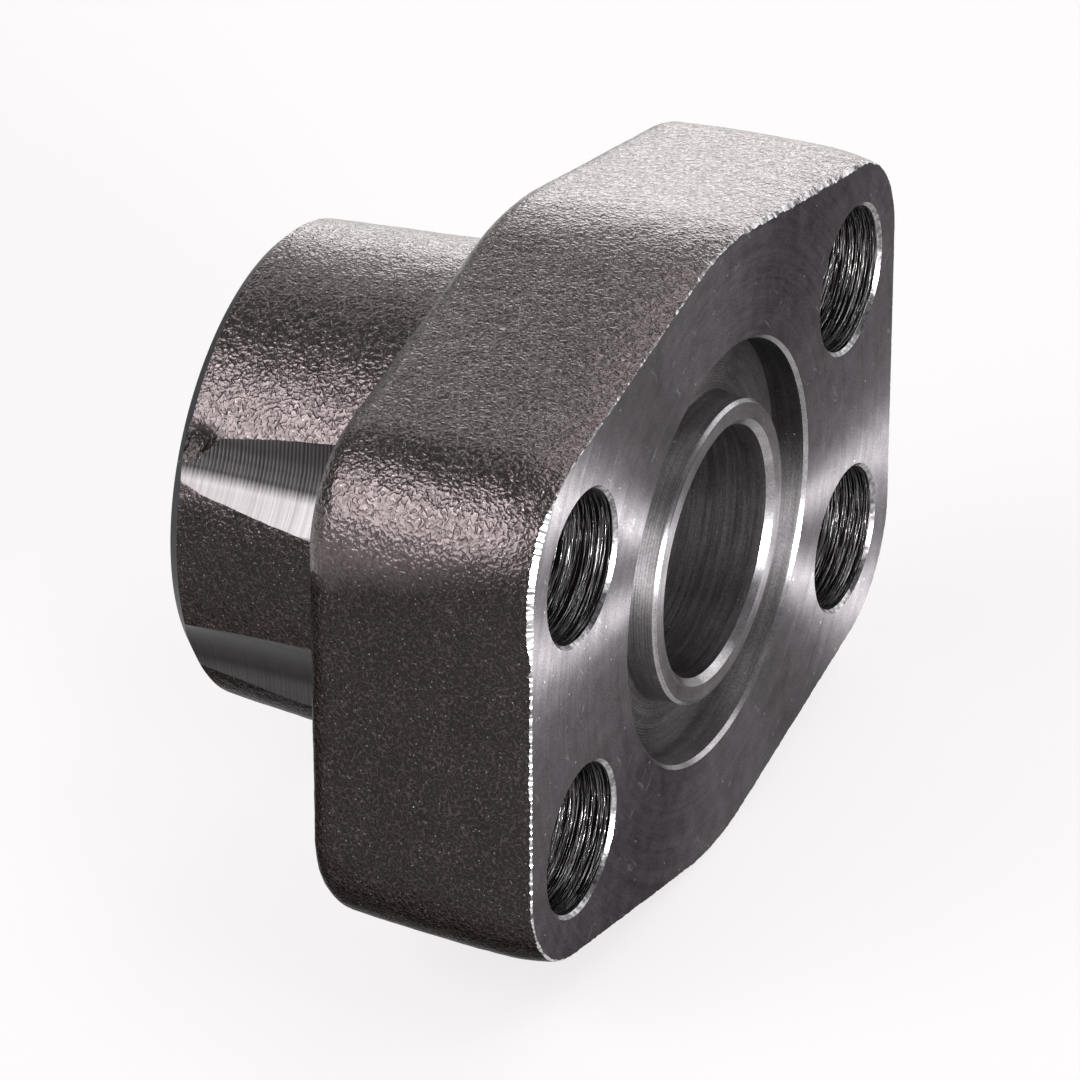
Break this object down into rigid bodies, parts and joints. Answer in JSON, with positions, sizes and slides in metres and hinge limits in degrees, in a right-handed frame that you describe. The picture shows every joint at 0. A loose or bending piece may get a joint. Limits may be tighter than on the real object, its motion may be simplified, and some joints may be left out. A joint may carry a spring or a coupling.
{
  "type": "socket weld flange",
  "caption": "Forged steel socket weld flange: a thick plate with a bolt hole near each corner, a seal groove round the bore, and a hub whose socket takes a pipe.",
  "frame": {"origin": "where the axis of the bore meets the mating face, at the centre of the bolt pattern", "axes": "+X along the long bolt pitch, +Y along the bore from the mating face to the hub's welding end, +Z along the short bolt pitch, upwards as the flange stands on its long side"},
  "size_m": [0.0652, 0.0362, 0.0504],
  "materials": {
    "forged_steel": "shot-blasted forged skin with machined face, holes, seats, groove and bore"
  },
  "bodies": {
    "root": {"flange_body": "forged_steel"}
  },
  "joints": []
}
